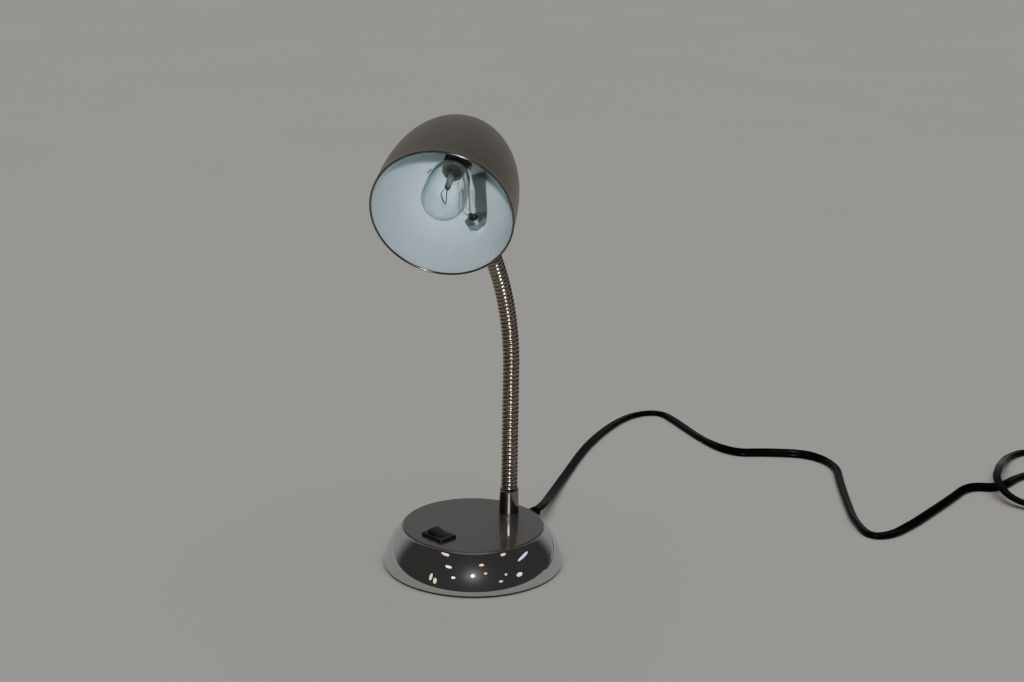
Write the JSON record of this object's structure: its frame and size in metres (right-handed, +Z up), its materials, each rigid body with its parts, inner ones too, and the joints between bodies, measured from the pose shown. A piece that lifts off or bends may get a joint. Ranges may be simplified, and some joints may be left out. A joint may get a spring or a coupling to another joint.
{
  "type": "gooseneck desk lamp",
  "caption": "Desk lamp with a round weighted base, rocker switch, flexible ribbed neck, deep bullet shade with a small clear bulb, and a mains cord.",
  "frame": {"origin": "middle of the base's underside, on the table", "axes": "+Z up, -Y the front with the switch, +Y the rear with the neck's foot and the cord"},
  "size_m": [0.4672, 0.6152, 0.3307],
  "materials": {
    "chrome_skirt": "mirror chrome plate",
    "satin_disc": "satin nickel plate",
    "cast_weight": "as cast",
    "zinc_steel": "zinc plated",
    "foam_pad": "black foam",
    "black_plastic": "moulded black",
    "brass": "plain brass",
    "clear_plastic": "translucent nylon",
    "satin_hose": "satin nickel plated steel strip",
    "wire_insulation": "PVC",
    "satin_ferrule": "satin nickel plate",
    "satin_shade": "satin nickel outside, white enamel inside",
    "phenolic": "dark brown moulded phenolic",
    "white_sleeve": "woven glass fibre sleeving",
    "clear_glass": "clear",
    "black_glass": "black glass bead",
    "tungsten": "drawn tungsten"
  },
  "bodies": {
    "base": {"base_pad": "foam_pad", "base_screws": "zinc_steel", "base_skirt": "chrome_skirt", "base_weight": "cast_weight", "bottom_plate": "zinc_steel", "cord_coil": "black_plastic", "cord_leads": "wire_insulation", "cord_tie": "black_plastic", "cord_tube": "black_plastic", "hose_foot": "satin_hose", "lower_ferrule": "satin_ferrule", "lower_nipple": "zinc_steel", "lower_nut": "zinc_steel", "lower_washer": "zinc_steel", "neck_leads": "wire_insulation", "plug_blades": "brass", "plug_body": "black_plastic", "strain_relief": "black_plastic", "switch_housing": "black_plastic", "switch_terminals": "brass", "tab_receptacles": "clear_plastic", "top_plate": "satin_disc", "wire_splice": "clear_plastic"},
    "rocker": {"switch_rocker": "black_plastic"},
    "link_1": {"neck_link_1": "satin_hose", "neck_wires_1": "wire_insulation"},
    "link_2": {"neck_link_2": "satin_hose", "neck_wires_2": "wire_insulation"},
    "link_3": {"neck_link_3": "satin_hose", "neck_wires_3": "wire_insulation"},
    "link_4": {"neck_link_4": "satin_hose", "neck_wires_4": "wire_insulation"},
    "link_5": {"neck_link_5": "satin_hose", "neck_wires_5": "wire_insulation"},
    "link_6": {"neck_link_6": "satin_hose", "neck_wires_6": "wire_insulation"},
    "link_7": {"neck_link_7": "satin_hose", "neck_wires_7": "wire_insulation"},
    "link_8": {"neck_link_8": "satin_hose", "neck_wires_8": "wire_insulation"},
    "head": {"hose_head": "satin_hose", "upper_ferrule": "satin_ferrule", "upper_nipple": "zinc_steel", "upper_washer": "zinc_steel", "upper_nut": "zinc_steel", "shade": "satin_shade", "socket_bracket": "zinc_steel", "socket_body": "phenolic", "socket_shell": "brass", "socket_contact": "brass", "socket_lugs": "brass", "socket_screw": "zinc_steel", "head_wires": "wire_insulation", "wire_sleeves": "white_sleeve"},
    "bulb": {"bulb_glass": "clear_glass", "bulb_base": "brass", "bulb_insulator": "black_glass", "bulb_tip": "brass", "bulb_stem": "clear_glass", "bulb_filament": "tungsten"}
  },
  "joints": [
    {"name": "neck_bend_1", "type": "hinge", "parent": "base", "child": "link_1", "pos_m": [0, 0.0363, 0.0535], "axis": [0.9962, 0.0872, 0], "range_deg": [-24, 24]},
    {"name": "neck_sway_2", "type": "hinge", "parent": "link_1", "child": "link_2", "pos_m": [0, 0.0363, 0.07673], "axis": [0.0872, -0.9962, 0], "range_deg": [-20, 20]},
    {"name": "neck_bend_3", "type": "hinge", "parent": "link_2", "child": "link_3", "pos_m": [0, 0.0363, 0.09996], "axis": [0.9962, 0.0872, 0], "range_deg": [-24, 24]},
    {"name": "neck_sway_4", "type": "hinge", "parent": "link_3", "child": "link_4", "pos_m": [0, 0.0363, 0.12319], "axis": [0.0872, -0.9962, 0], "range_deg": [-20, 20]},
    {"name": "neck_bend_5", "type": "hinge", "parent": "link_4", "child": "link_5", "pos_m": [0.00001, 0.03619, 0.14642], "axis": [0.9962, 0.0872, 0], "range_deg": [-29.29, 18.71]},
    {"name": "neck_sway_6", "type": "hinge", "parent": "link_5", "child": "link_6", "pos_m": [0.0002, 0.03396, 0.16953], "axis": [0.0872, -0.9962, 0], "range_deg": [-20, 20]},
    {"name": "neck_bend_7", "type": "hinge", "parent": "link_6", "child": "link_7", "pos_m": [0.00065, 0.02884, 0.19217], "axis": [0.9962, 0.0872, 0], "range_deg": [-31.23, 16.77]},
    {"name": "neck_sway_8", "type": "hinge", "parent": "link_7", "child": "link_8", "pos_m": [0.00135, 0.02092, 0.21398], "axis": [0.0872, -0.9962, 0], "range_deg": [-20, 20]},
    {"name": "neck_bend_9", "type": "hinge", "parent": "link_8", "child": "head", "pos_m": [0.00219, 0.01121, 0.23524], "axis": [0.9962, 0.0872, 0], "range_deg": [-36.48, 11.52]},
    {"name": "rocker_tilt", "type": "hinge", "parent": "base", "child": "rocker", "pos_m": [0, -0.034, 0.0295], "axis": [0, -1, 0], "range_deg": [0, 24]},
    {"name": "bulb_unscrew", "type": "slide", "parent": "head", "child": "bulb", "axis": [0.5395, -0.7577, -0.3672], "range_m": [0, 0.026]}
  ]
}
